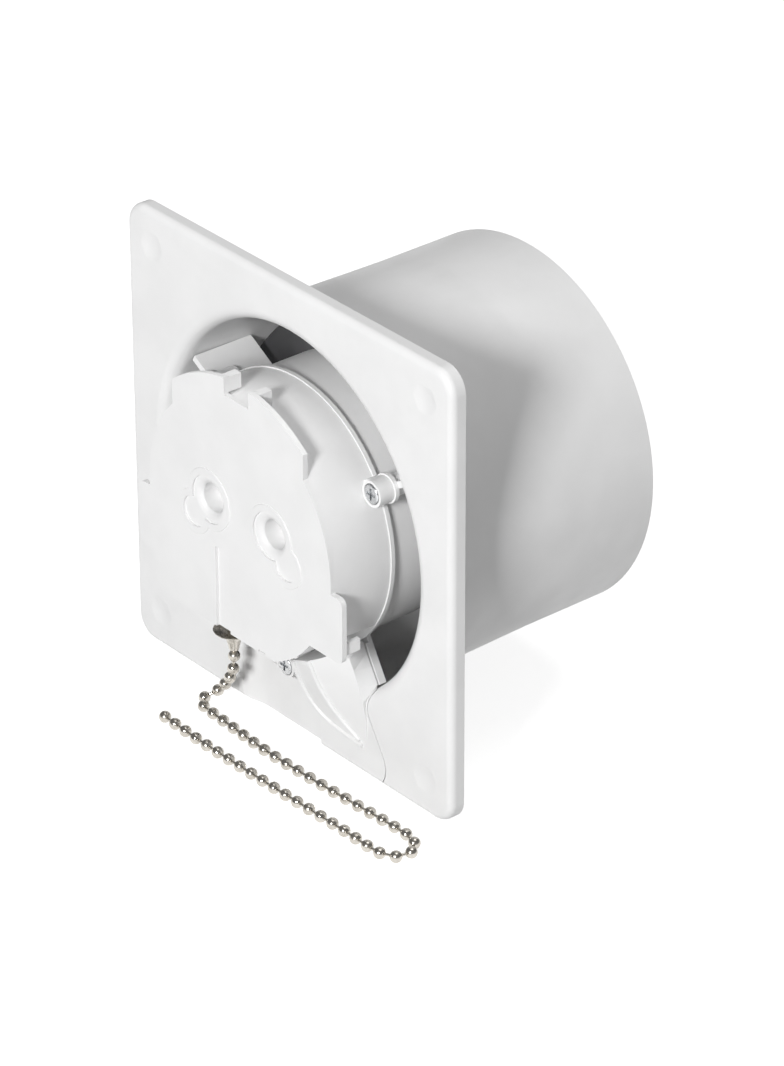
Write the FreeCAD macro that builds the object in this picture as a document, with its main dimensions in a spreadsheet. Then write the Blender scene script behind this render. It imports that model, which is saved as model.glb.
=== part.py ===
import FreeCAD, Part
import math
import os
import re
import Sketcher

# Bathroom exhaust fan: a square wall plate with a duct spigot, a motor on a three-armed spider,
# an impeller behind it, and a terminal box in front with a pull switch on a bead chain.
# The frame stands at the centre of the plate's wall face: X right, Y into the wall, Z up.

SIZES = {
    "Wall plate": {
        "plate_side": 157,
        "plate_thickness": 5.5,
        "plate_corner_radius": 8,
        "plate_edge_round": 2.4,
        "mouth_round": 4.8,
        "fixing_spacing": 132,
        "fixing_hole_radius": 2.25,
        "fixing_recess_radius": 5.65,
        "fixing_recess_depth": 0.8,
        "fixing_web": 1,
    },
    "Duct spigot": {
        "duct_root_radius": 63.3,
        "duct_radius": 62,
        "duct_taper_length": 60,
        "duct_length": 91.2,
        "duct_wall": 1.9,
    },
    "Cable cover": {
        "entry_left": 23.3,
        "entry_right": 15.7,
        "entry_back_wall": 2.6,
        "entry_cove_length": 9,
        "entry_cove_sag": 0.25,
        "seam_gap": 0.45,
        "seam_fit": 0.05,
        "chute_rib_radius": 0.8,
        "chute_sink": 3.7,
    },
    "Motor spider": {
        "hub_radius": 44,
        "hub_wall": 2,
        "hub_length": 22.5,
        "hub_web": 2,
        "arm_thickness": 2.2,
        "arm_fit_gap": 0.05,
        "arm_angle": 30,
        "arm_count": 3,
        "strap_angle": 299.8,
        "strap_side": 11.6,
        "strap_width": 6,
        "strap_reach": 1.2,
        "strap_back": 1.4,
        "arm_pilot_radius": 1.1,
        "arm_pilot_depth": 7,
        "arm_boss_radius": 3.6,
        "arm_boss_length": 9,
    },
    "Terminal box": {
        "box_radius": 44.7,
        "box_draft": 0.75,
        "box_wall": 1.8,
        "box_floor": 1.8,
        "box_bottom": 38.6,
        "box_corner_reach": 43,
        "box_corner_radius": 9,
        "box_corner_height": 20,
        "box_lower_radius": 42.7,
        "flange_radius": 45.8,
        "flange_thickness": 1.4,
        "boss_circle_radius": 49.7,
        "foot_boss_drop": 55,
        "boss_radius": 4.4,
        "boss_length": 7,
        "boss_web_drop": 2,
        "boss_recess_radius": 3.5,
        "boss_recess_depth": 1.6,
        "ear_radius": 4.9,
        "screw_hole_radius": 1.6,
        "lead_hole_radius": 4,
        "lead_hole_left": 2,
        "lead_hole_drop": 31,
        "pull_hole_radius": 2.4,
        "cable_hole_left": 6.5,
        "cable_hole_width": 7,
        "cable_hole_depth": 7,
        "cable_hole_reach": 12,
    },
    "Front cover": {
        "cover_reach": 24.5,
        "cover_thickness": 1.8,
        "crown_radius": 51,
        "crown_half_width": 32,
        "crown_foot": 30,
        "notch_half_width": 6,
        "notch_floor": 44.8,
        "notch_tab_width": 3,
        "notch_tab_length": 5,
        "cover_ear_reach": 50,
        "cover_ear_top": 3,
        "cover_ear_bottom": 25.6,
        "cover_bottom": 39.3,
        "cover_slot_left": 8.8,
        "cover_slot_width": 3.4,
        "cover_slot_height": 0.9,
        "cover_corner_reach": 43.6,
        "cover_corner_radius": 9,
        "cover_ear_round": 2.4,
        "socket_shift": 0.6,
        "socket_spread": 15.1,
        "socket_height": 4.7,
        "socket_dish_radius": 8.1,
        "socket_throat_radius": 6.2,
        "socket_throat_depth": 0.75,
        "socket_rim_depth": 1.9,
        "socket_depth": 8,
        "socket_lobe_radius": 5.2,
        "socket_lobe_depth": 0.4,
        "socket_lobe_out": 7.4,
        "socket_lobe_down": 7.2,
        "socket_lip": 2.4,
        "socket_lip_height": 0.35,
        "socket_hole_radius": 5,
        "socket_tube_radius": 6.4,
        "socket_tube_end": 1.2,
        "groove_left": 11.9,
        "groove_right": 5,
        "groove_top": 10.6,
        "groove_depth": 1.1,
        "hook_inset": 0.9,
        "hook_length": 6,
        "hook_height": 4,
        "hook_thickness": 1.6,
    },
    "Screws": {
        "screw_head_radius": 3.2,
        "screw_head_height": 1.9,
        "screw_head_round": 0.7,
        "screw_shank_radius": 1,
        "screw_length": 11.5,
        "screw_cross_width": 0.9,
        "screw_cross_length": 4,
        "screw_cross_depth": 1,
    },
    "Terminal block": {
        "block_left": 3,
        "block_width": 22,
        "block_foot": 31,
        "block_height": 13,
        "block_depth": 11,
        "block_wire_radius": 1.7,
        "block_screw_radius": 1.9,
        "block_screw_length": 3.4,
        "block_screw_inset": 0.6,
        "block_screw_gap": 0.1,
        "block_screw_slot": 0.7,
    },
    "Pull switch": {
        "pull_left": 15.6,
        "pull_reach": 15,
        "switch_width": 18,
        "switch_depth": 9.4,
        "switch_height": 24.5,
        "switch_lid": 1,
        "switch_floor": 2.5,
        "switch_roof": 2,
        "switch_bore_radius": 3.7,
        "plunger_rod_radius": 1.5,
        "plunger_guide_gap": 0.3,
        "plunger_head_radius": 3.3,
        "plunger_head_height": 2.2,
        "plunger_head_drop": 21,
        "pull_travel": 5,
        "spring_wire_radius": 0.35,
        "spring_radius": 2.5,
        "spring_turns": 5,
        "spring_end_gap": 0.1,
        "cam_radius": 3.2,
        "cam_height": 5,
        "cam_gap": 0.6,
        "cam_pin_radius": 0.8,
        "cam_pin_gap": 0.04,
        "cam_tooth_depth": 0.8,
        "cam_teeth": 8,
        "contact_spread": 5,
        "contact_width": 4,
        "contact_thickness": 0.6,
        "contact_length": 5,
    },
    "Chain": {
        "bell_rim_radius": 6.6,
        "bell_rim_drop": 45.6,
        "bell_wall": 0.45,
        "bell_waist_radius": 2.6,
        "bell_waist_drop": 48.6,
        "bell_neck_radius": 1.4,
        "bell_neck_drop": 53.6,
        "chain_diameter": 4,
    },
    "Motor": {
        "core_front": 6,
        "core_stack": 10,
        "core_half_width": 20,
        "core_top": 17,
        "core_limb": 8,
        "core_foot": 34.5,
        "core_yoke": 8,
        "core_window_top": 15.5,
        "rotor_radius": 9.6,
        "air_gap": 0.4,
        "rotor_inset": 0.2,
        "shaft_radius": 2,
        "shaft_running_gap": 0.03,
        "shaft_front": 1.2,
        "bush_radius": 4.6,
        "bush_length": 4.2,
        "bush_inset": 0.3,
        "bracket_half_length": 19,
        "bracket_width": 14,
        "bracket_sheet": 1.6,
        "bracket_rim_radius": 6.8,
        "bracket_foot_radius": 3.4,
        "bolt_inset": 5,
        "bolt_radius": 1.5,
        "bolt_head_radius": 2.8,
        "bolt_head_height": 1.8,
        "bolt_gap": 0.15,
        "bobbin_wall": 1,
        "bobbin_gap": 0.2,
        "bobbin_flange": 2.9,
        "winding_thickness": 2.6,
        "winding_gap": 0.1,
        "lead_radius": 0.9,
    },
    "Impeller": {
        "impeller_front": 24.8,
        "impeller_hub_radius": 43.2,
        "impeller_hub_length": 27,
        "impeller_wall": 1.8,
        "impeller_disc": 2,
        "impeller_boss_radius": 6.5,
        "impeller_boss_length": 17,
        "impeller_rib_thickness": 1.6,
        "impeller_rib_count": 6,
        "blade_tip_gap": 1.2,
        "blade_root_sink": 1.2,
        "blade_inset": 2.2,
        "blade_axial_length": 22,
        "blade_root_sweep": 26,
        "blade_tip_sweep": 34,
        "blade_thickness": 1.9,
        "blade_camber": 2.6,
        "blade_count": 7,
        "clip_radius": 5,
        "clip_thickness": 1,
        "shaft_tail": 2.2,
    },
    "Cuts": {"overrun": 5},
}

# Route of the bead chain, in millimetres: down from the bell, round a tight bend where it meets
# the surface below the plate, along it, round a loop and back.
CHAIN_ROUTE = [
    (-15.6, -15.0, -53.6),
    (-15.6, -15.0, -57.8),
    (-17.4, -14.4, -62.8),
    (-20.7, -13.6, -67.6),
    (-24.6, -13.0, -72.0),
    (-28.4, -13.6, -75.9),
    (-29.4, -17.6, -76.5),
    (-25.4, -20.7, -76.5),
    (-18.5, -20.9, -76.5),
    (-8.0, -21.4, -76.5),
    (8.0, -22.3, -76.5),
    (30.0, -21.7, -76.5),
    (52.0, -20.4, -76.5),
    (67.0, -19.5, -76.5),
    (77.2, -19.3, -76.5),
    (82.6, -22.6, -76.5),
    (83.3, -28.4, -76.5),
    (79.2, -32.2, -76.5),
    (72.5, -32.8, -76.5),
    (62.0, -32.6, -76.5),
    (44.0, -33.2, -76.5),
    (22.0, -33.9, -76.5),
    (0.0, -34.2, -76.5),
    (-15.0, -34.3, -76.5),
    (-28.6, -33.7, -76.5),
]
BEND_SHARE = 0.45

# Cable chute, from its head below the terminal box to its foot on the plate: the line of its outer rib, of
# its inner rib, of its right edge and of its right foot, in shares of the plate's half side across and
# upwards, and of the cover's reach forwards.
CHUTE_OUTER_RIB_SHARES = [
    (0.162, -0.571, -0.567),
    (0.157, -0.449, -0.676),
    (0.191, -0.343, -0.777),
    (0.262, -0.278, -0.833),
    (0.377, -0.245, -0.859),
    (0.466, -0.229, -0.868),
]
CHUTE_INNER_RIB_SHARES = [
    (0.245, -0.580, -0.502),
    (0.266, -0.531, -0.562),
    (0.279, -0.469, -0.637),
    (0.322, -0.388, -0.720),
    (0.376, -0.302, -0.789),
    (0.451, -0.241, -0.845),
]
CHUTE_RIGHT_EDGE_SHARES = [
    (0.438, -0.367, -0.459),
    (0.454, -0.335, -0.516),
    (0.469, -0.302, -0.580),
    (0.484, -0.269, -0.656),
    (0.494, -0.245, -0.739),
    (0.490, -0.233, -0.828),
]
CHUTE_RIGHT_FOOT_SHARES = [
    (0.411, 0, -0.428),
    (0.433, 0, -0.469),
    (0.464, 0, -0.521),
    (0.501, 0, -0.585),
    (0.484, 0, -0.652),
    (0.490, 0, -0.828),
]

# Routes of the inner leads, in millimetres: from the switch to the terminal block, from the switch to
# the motor's coil, and from the terminal block to the coil.
SWITCH_LEAD_ROUTE = [
    (-10.6, -15.0, -7.3),
    (-10.6, -15.0, -3.8),
    (-7.5, -12.0, -0.9),
    (-1.0, -9.5, -1.2),
    (5.0, -7.8, -5.0),
    (6.67, -7.3, -12.5),
    (6.67, -7.3, -20.0),
]
MOTOR_LEAD_ROUTES = [
    [
        (-20.6, -15.0, -7.3),
        (-20.6, -15.0, -3.8),
        (-19.5, -10.5, -1.5),
        (-13.5, -6.5, -2.0),
        (-5.5, -5.0, -7.5),
        (-2.6, -5.0, -16.0),
        (-2.6, -4.6, -25.5),
        (-2.6, -2.4, -31.0),
        (-2.6, 2.2, -31.0),
    ],
    [
        (14.0, -7.3, -24.0),
        (14.0, -7.3, -16.0),
        (10.5, -5.6, -8.0),
        (3.0, -4.4, -6.5),
        (-0.4, -4.6, -13.0),
        (-0.4, -4.6, -23.0),
        (-0.4, -2.4, -31.0),
        (-0.4, 2.2, -31.0),
    ],
]

# Seam of the cable cover as shares of half the plate's side: where it leaves the mouth, the hollow
# of its first bend, the ends of its straight run, the crown of its second bend, and the plate's edge.
SEAM_MOUTH_SHARES = (0.568, -0.535)
SEAM_HOLLOW_SHARES = (0.491, -0.645)
SEAM_RUN_START_SHARES = (0.499, -0.718)
SEAM_RUN_END_SHARES = (0.588, -0.866)
SEAM_CROWN_SHARES = (0.602, -0.92)
SEAM_EDGE_SHARES = (0.566, -1.0)

doc = FreeCAD.newDocument("ExhaustFan")
sheet = doc.addObject("Spreadsheet::Sheet", "Sizes")
row = 0
for heading, sizes in SIZES.items():
    row += 1
    sheet.set(f"A{row}", heading)
    for alias, number in sizes.items():
        row += 1
        sheet.set(f"A{row}", alias)
        sheet.set(f"B{row}", str(number))
        sheet.setAlias(f"B{row}", alias)
doc.recompute()
ALIASES = {alias for sizes in SIZES.values() for alias in sizes}
parts = []


def bound(text):
    """Turn each size's name in a formula into its cell of the sheet."""
    return re.sub(r"[a-z_]+", lambda word: f"Sizes.{word[0]}" if word[0] in ALIASES else word[0], text)


def size(alias):
    """Read one size from the sheet as a number."""
    return float(sheet.get(alias))


def tie(target, **formulas):
    """Bind properties of an object to formulas of the sheet."""
    for name, text in formulas.items():
        target.setExpression(name.replace("__", "."), bound(text))


def keep(piece, label):
    """Name a finished sub-part and list it for writing."""
    piece.Label = label
    parts.append(piece)
    return piece


def new_body(name):
    """Start an empty solid body."""
    return doc.addObject("PartDesign::Body", name)


def origin_feature(body, role):
    """Find an origin plane or axis of a body by its role."""
    return next(item for item in body.Origin.OriginFeatures if item.Role == role)


def new_sketch(body, role, lift):
    """Start a sketch on an origin plane, lifted along the plane's normal."""
    sketch = body.newObject("Sketcher::SketchObject", "Sketch")
    sketch.AttachmentSupport = [(origin_feature(body, role), "")]
    sketch.MapMode = "FlatFace"
    tie(sketch, __AttachmentOffset__Base__z=lift)
    return sketch


def pin_point(sketch, geometry, point, across, along):
    """Fix one point of a sketch at two formulas measured from the sketch's origin."""
    for kind, text in (("DistanceX", across), ("DistanceY", along)):
        constraint = sketch.addConstraint(Sketcher.Constraint(kind, -1, 1, geometry, point, 1))
        sketch.setExpression(f"Constraints[{constraint}]", bound(text))


def add_loop(sketch, corners):
    """Draw a closed outline of straight lines through corners given as formulas."""
    first = sketch.GeometryCount
    count = len(corners)
    turn = 2 * math.pi / count
    spots = [FreeCAD.Vector(math.cos(turn * i), math.sin(turn * i), 0) for i in range(count)]
    for i in range(count):
        sketch.addGeometry(Part.LineSegment(spots[i], spots[(i + 1) % count]), False)
    for i in range(count):
        sketch.addConstraint(Sketcher.Constraint("Coincident", first + i, 2, first + (i + 1) % count, 1))
    for i, (across, along) in enumerate(corners):
        pin_point(sketch, first + i, 1, across, along)


def outline(body, role, corners, lift="0"):
    """Sketch one closed outline."""
    sketch = new_sketch(body, role, lift)
    add_loop(sketch, corners)
    return sketch


def circles(body, role, rings, lift="0"):
    """Sketch circles given as (across, along, radius) formulas."""
    sketch = new_sketch(body, role, lift)
    for across, along, radius in rings:
        circle = sketch.addGeometry(Part.Circle(FreeCAD.Vector(), FreeCAD.Vector(0, 0, 1), 1), False)
        pin_point(sketch, circle, 3, across, along)
        constraint = sketch.addConstraint(Sketcher.Constraint("Radius", circle, 1))
        sketch.setExpression(f"Constraints[{constraint}]", bound(radius))
    return sketch


def feature(body, kind, sketch, **formulas):
    """Add a sketch-based feature to a body."""
    item = body.newObject(f"PartDesign::{kind}", kind)
    item.Profile = sketch
    sketch.Visibility = False
    tie(item, **formulas)
    return item


def slab(body, front, back, corners=None, rings=None, cut=False):
    """Add or cut a slab between two depths along Y, from an outline or from circles."""
    lift = f"-({back})"
    sketch = outline(body, "XZ_Plane", corners, lift) if corners else circles(body, "XZ_Plane", rings, lift)
    item = feature(body, "Pocket" if cut else "Pad", sketch, Length=f"({back}) - ({front})")
    item.Reversed = cut
    return item


def column(body, foot, top, corners=None, rings=None, cut=False):
    """Add or cut an upright column between two heights along Z."""
    sketch = outline(body, "XY_Plane", corners, foot) if corners else circles(body, "XY_Plane", rings, foot)
    item = feature(body, "Pocket" if cut else "Pad", sketch, Length=f"({top}) - ({foot})")
    item.Reversed = cut
    return item


def turned(body, corners, cut=False):
    """Turn an outline of (radius, depth) corners about the duct's axis."""
    sketch = outline(body, "XY_Plane", corners)
    item = feature(body, "Groove" if cut else "Revolution", sketch)
    item.ReferenceAxis = (sketch, ["V_Axis"])
    item.Angle = 360
    return item


def copies(body, originals, count):
    """Repeat features evenly about the duct's axis."""
    pattern = body.newObject("PartDesign::PolarPattern", "PolarPattern")
    pattern.Originals = originals
    pattern.Axis = (origin_feature(body, "Y_Axis"), [""])
    pattern.Angle = 360
    tie(pattern, Occurrences=count)
    body.Tip = pattern
    return pattern


def round_edges(body, radius, wanted):
    """Fillet the edges of a body that a test picks out."""
    doc.recompute()
    base = body.Tip
    names = [f"Edge{i + 1}" for i, edge in enumerate(base.Shape.Edges) if wanted(edge)]
    fillet = body.newObject("PartDesign::Fillet", "Fillet")
    fillet.Base = (base, names)
    tie(fillet, Radius=radius)
    return fillet


def boolean(kind, base, tool):
    """Join two shapes with a boolean."""
    item = doc.addObject(f"Part::{kind}", kind)
    item.Base = base
    item.Tool = tool
    return item


def at_depth(edge, depth):
    """Tell whether an edge lies in the plane at one depth along Y."""
    box = edge.BoundBox
    tolerance = 1e-4
    return abs(box.YMin - depth) < tolerance and abs(box.YMax - depth) < tolerance


def along_y(edge):
    """Tell whether an edge is straight and runs along Y only."""
    box = edge.BoundBox
    tolerance = 1e-4
    return box.XLength < tolerance and box.ZLength < tolerance


def rectangle(left, right, foot, top):
    """Corners of an upright rectangle."""
    return [(left, foot), (right, foot), (right, top), (left, top)]


def slanted_bar(angle, inner, outer, low, high):
    """Corners of a bar that runs at an angle, between two offsets from the axis."""
    return [
        (f"({r}) * cos({angle}) - ({side}) * sin({angle})", f"({r}) * sin({angle}) + ({side}) * cos({angle})")
        for r, side in ((inner, low), (outer, low), (outer, high), (inner, high))
    ]


def spoke(angle, inner, outer, thickness):
    """Corners of a radial bar at an angle about the axis."""
    return slanted_bar(angle, inner, outer, f"-({thickness}) / 2", f"({thickness}) / 2")


def on_circle(radius, angle):
    """Place on a circle about the duct's axis."""
    return f"({radius}) * cos({angle})", f"({radius}) * sin({angle})"


def rounded_path(points, share):
    """Join straight runs with tangent arcs as large as the shorter run allows."""
    spots = [FreeCAD.Vector(*point) for point in points]
    edges = []
    radii = []
    start = spots[0]
    for before, corner, after in zip(spots, spots[1:], spots[2:]):
        back = (before - corner).normalize()
        ahead = (after - corner).normalize()
        reach = share * min(corner.distanceToPoint(before), corner.distanceToPoint(after))
        half_turn = (math.pi - back.getAngle(ahead)) / 2
        radius = reach / math.tan(half_turn)
        middle = (back + ahead).normalize()
        entry = corner + back * reach
        leave = corner + ahead * reach
        inside = corner + middle * (radius / math.cos(half_turn) - radius)
        edges.append(Part.LineSegment(start, entry).toShape())
        edges.append(Part.Arc(entry, inside, leave).toShape())
        radii.append(radius)
        start = leave
    edges.append(Part.LineSegment(start, spots[-1]).toShape())
    return Part.Wire(edges), radii


def tube(points, radius, share):
    """Sweep a round tube along a path and report its length, volume error and tightest arc."""
    path, radii = rounded_path(points, share)
    direction = FreeCAD.Vector(*points[1]) - FreeCAD.Vector(*points[0])
    ring = Part.Wire(Part.makeCircle(radius, FreeCAD.Vector(*points[0]), direction))
    solid = path.makePipeShell([ring], True, False)
    expected = math.pi * radius ** 2 * path.Length
    print("tube length", round(path.Length, 1), "volume ratio", round(solid.Volume / expected, 4),
          "arc radii", [round(value, 1) for value in radii])
    return solid


def shaped(name, shape):
    """Add a shape made from curves as an object of the document."""
    item = doc.addObject("Part::Feature", name)
    item.Shape = shape
    return item


# Wall plate and duct spigot

PLATE_FRONT = "-plate_thickness"
BOLT_SPREAD = "(core_half_width - bolt_inset)"
BORE_RADIUS = "duct_root_radius - duct_wall"
BOSS_SPOTS = [on_circle("boss_circle_radius", "arm_angle"), on_circle("boss_circle_radius",
              "(180 - arm_angle)"),
              ("0", "-foot_boss_drop")]


def plate_blank(name):
    """Square plate with a rounded rim and a flared mouth."""
    body = new_body(name)
    half = "plate_side / 2"
    slab(body, PLATE_FRONT, "0", corners=rectangle(f"-{half}", half, f"-{half}", half))
    round_edges(body, "plate_corner_radius", along_y)
    round_edges(body, "plate_edge_round", lambda edge: at_depth(edge, -size("plate_thickness")))
    slab(body, f"{PLATE_FRONT} - overrun", "0", rings=[("0", "0", BORE_RADIUS)], cut=True)
    bore = size("duct_root_radius") - size("duct_wall")
    round_edges(body, "mouth_round", lambda edge: at_depth(edge, -size("plate_thickness"))
                and abs(edge.BoundBox.XLength / 2 - bore) < size("overrun") / 100)
    return body


def seam_prism(name, gap):
    """Prism that parts the cable cover from the plate along its curved seam."""
    half = size("plate_side") / 2
    beyond = half + size("overrun")

    def spot(shares):
        return FreeCAD.Vector(half * shares[0], 0, half * shares[1])

    left = -size("entry_left") + max(gap - size("seam_fit"), 0)
    mouth, edge = spot(SEAM_MOUTH_SHARES), spot(SEAM_EDGE_SHARES)
    run_start, run_end = spot(SEAM_RUN_START_SHARES), spot(SEAM_RUN_END_SHARES)
    below = FreeCAD.Vector(edge.x, 0, -beyond)
    low_left = FreeCAD.Vector(left, 0, -beyond)
    high_left = FreeCAD.Vector(left, 0, mouth.z)
    wire = Part.Wire([
        Part.Arc(mouth, spot(SEAM_HOLLOW_SHARES), run_start).toShape(),
        Part.LineSegment(run_start, run_end).toShape(),
        Part.Arc(run_end, spot(SEAM_CROWN_SHARES), edge).toShape(),
        Part.LineSegment(edge, below).toShape(),
        Part.LineSegment(below, low_left).toShape(),
        Part.LineSegment(low_left, high_left).toShape(),
        Part.LineSegment(high_left, mouth).toShape(),
    ])
    if gap:
        wire = wire.makeOffset2D(gap)
    depth = size("plate_thickness") + 2 * size("overrun")
    prism = Part.Face(wire).extrude(FreeCAD.Vector(0, -depth, 0))
    prism.translate(FreeCAD.Vector(0, size("overrun"), 0))
    return shaped(name, prism)


def build_housing():
    """Plate and duct moulded as one piece, with dimpled fixing knock-outs and the cable cover's gap."""
    plate = plate_blank("housing_plate")
    corner = "fixing_spacing / 2"
    floor = f"{PLATE_FRONT} + fixing_recess_depth"
    hole = slab(plate, f"{floor} + fixing_web", "overrun",
                rings=[(corner, corner, "fixing_hole_radius")], cut=True)
    copies(plate, [hole], "4")
    parted = boolean("Cut", plate, seam_prism("plate_gap", size("seam_gap")))
    ball = "(fixing_recess_radius ^ 2 + fixing_recess_depth ^ 2) / (2 * fixing_recess_depth)"
    for across in (corner, f"-{corner}"):
        for along in (corner, f"-{corner}"):
            dimple = doc.addObject("Part::Sphere", "dimple")
            tie(dimple, Radius=ball, Placement__Base__x=across, Placement__Base__z=along,
                Placement__Base__y=f"{floor} - {ball}")
            parted = boolean("Cut", parted, dimple)
    duct = new_body("housing_duct")
    turned(duct, [
        ("duct_root_radius", "0"),
        ("duct_radius", "duct_taper_length"),
        ("duct_radius", "duct_length"),
        ("duct_radius - duct_wall", "duct_length"),
        ("duct_radius - duct_wall", "duct_taper_length"),
        (BORE_RADIUS, "0"),
    ])
    keep(boolean("Fuse", parted, duct), "housing")


def entry_cut():
    """Cutter for the cable entry, which opens through the plate's edge and ends in a cove on the left."""
    front, back = -size("plate_thickness"), -size("entry_back_wall")
    left, right, clear = -size("entry_left"), size("entry_right"), front - size("overrun")
    foot = left + size("entry_cove_length")
    middle = FreeCAD.Vector((left + foot) / 2,
            (front + back) / 2 + size("entry_cove_sag") * (back - front), 0)
    spots = [FreeCAD.Vector(x, y, 0) for x, y in (
        (left, front), (foot, back), (right, back), (right, clear), (left - size("overrun"), clear),
        (left - size("overrun"), front))]
    lines = [Part.LineSegment(a, b).toShape() for a, b in zip(spots[1:], spots[2:] + spots[:1])]
    wire = Part.Wire([Part.Arc(spots[0], middle, spots[1]).toShape(), *lines])
    prism = Part.Face(wire).extrude(FreeCAD.Vector(0, 0, -size("plate_side")))
    return shaped("cable_entry", prism)


def chute_line(shares):
    """Points of one of the chute's lines."""
    half, reach = size("plate_side") / 2, size("cover_reach")
    return [FreeCAD.Vector(x * half, y * reach, z * half) for x, y, z in shares]


def chute_solid():
    """Sloping chute between its lines, sunk into the plate, with a round rib on two of them."""
    sunk = size("chute_sink") - size("plate_thickness")
    outer, inner = chute_line(CHUTE_OUTER_RIB_SHARES), chute_line(CHUTE_INNER_RIB_SHARES)
    tops = [outer, inner, chute_line(CHUTE_RIGHT_EDGE_SHARES)]
    lows = [[FreeCAD.Vector(spot.x, sunk, spot.z) for spot in line]
            for line in (outer, inner, chute_line(CHUTE_RIGHT_FOOT_SHARES))]
    ring = tops + lows[::-1]
    faces = []
    for one, two in zip(ring, ring[1:] + ring[:1]):
        for i in range(len(outer) - 1):
            faces.append([one[i], one[i + 1], two[i + 1]])
            faces.append([one[i], two[i + 1], two[i]])
    for end in (0, -1):
        for one, two in zip(range(2), range(1, 3)):
            faces.append([tops[one][end], tops[two][end], lows[two][end]])
            faces.append([tops[one][end], lows[two][end], lows[one][end]])
    shell = Part.makeShell([Part.Face(Part.makePolygon([*face, face[0]])) for face in faces])
    solid = Part.Solid(shell)
    if solid.Volume < 0:
        solid.reverse()
    for line in (outer, inner):
        solid = solid.fuse(tube(line, size("chute_rib_radius"), BEND_SHARE))
    reach = size("cover_reach") + size("overrun")
    clear = Part.makeCylinder(size("flange_radius") + size("seam_gap"), 2 * reach,
                              FreeCAD.Vector(0, -reach, 0), FreeCAD.Vector(0, 1, 0))
    return shaped("chute", solid.cut(clear))


def build_cable_cover():
    """Insert that closes the plate's bottom edge, with an open entry and a sloping chute."""
    insert = boolean("Common", plate_blank("cover_plate"), seam_prism("cover_prism", 0))
    opened = boolean("Cut", insert, entry_cut())
    keep(boolean("Fuse", opened, chute_solid()), "cable_cover")


# Motor spider

def build_motor_spider():
    """Hub cup on three arms that reach the duct, with screw posts and a flat strap beside the cable chute."""
    body = new_body("motor_spider_body")
    turned(body, [
        ("hub_radius - hub_wall", "0"), ("hub_radius", "0"), ("hub_radius", "hub_length"),
        ("bracket_rim_radius + bolt_gap", "hub_length"), ("bracket_rim_radius + bolt_gap",
        "hub_length - hub_web"),
        ("hub_radius - hub_wall", "hub_length - hub_web"),
    ])
    outer = f"{BORE_RADIUS} - (duct_root_radius - duct_radius) * hub_length / duct_taper_length - arm_fit_gap"
    arm = slab(body, "0", "hub_length",
            corners=spoke("arm_angle", "hub_radius - hub_wall / 2", outer, "arm_thickness"))
    copies(body, [arm], "arm_count")
    slab(body, "0", "arm_boss_length", rings=[(*spot, "arm_boss_radius") for spot in BOSS_SPOTS])
    slab(body, "-overrun", "arm_pilot_depth",
            rings=[(*spot, "arm_pilot_radius") for spot in BOSS_SPOTS], cut=True)
    root = "sqrt((hub_radius - hub_wall / 2) ^ 2 - strap_side ^ 2)"
    end = f"sqrt(({outer}) ^ 2 - strap_side ^ 2)"
    for reach, start in (("-strap_reach", "flange_radius + seam_gap"), ("0", root)):
        slab(body, reach, "strap_back", corners=slanted_bar(
            "strap_angle", start, end, "strap_side - strap_width", "strap_side"))
    bolt = slab(body, "-overrun", "hub_length + overrun",
                rings=[(BOLT_SPREAD, "0", "bolt_radius"), (f"-{BOLT_SPREAD}", "0", "bolt_radius")], cut=True)
    body.Tip = bolt
    keep(body, "motor_spider")


# Terminal box, its cover and its screws

BOX_FRONT = "cover_thickness - cover_reach"
BOX_DEPTH = "cover_reach - cover_thickness"


def box_form(name, inset, front, back):
    """Round form with a squared lower left corner and a flat foot, drawn in by a wall."""
    body = new_body(name)
    far = "plate_side / 2"
    form = slab(body, front, back, rings=[("0", "0", f"box_radius + box_draft - {inset}")])
    tie(form, TaperAngle=f"-atan(box_draft / ({BOX_DEPTH}))")
    slab(body, front, back, corners=rectangle("0", far, f"-{far}", "-cover_ear_bottom"), cut=True)
    slab(body, front, back, rings=[("0", "0", f"box_lower_radius - {inset}")])
    slab(body, front, back, corners=rectangle(
        f"{inset} - box_corner_reach", "0", f"{inset} - box_bottom", "-box_corner_height"))
    slab(body, front, back, corners=rectangle(f"-{far}", far, f"-{far}", f"{inset} - box_bottom"), cut=True)
    low = -size("box_bottom") / 2
    left = -size("box_corner_reach") / 2
    round_edges(body, f"box_corner_radius - {inset}", lambda edge: along_y(edge)
                and edge.BoundBox.XMax < left and edge.BoundBox.ZMax < low
                and edge.BoundBox.ZMax < -size("box_bottom") + 2 * size("box_wall"))
    return body


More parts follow.
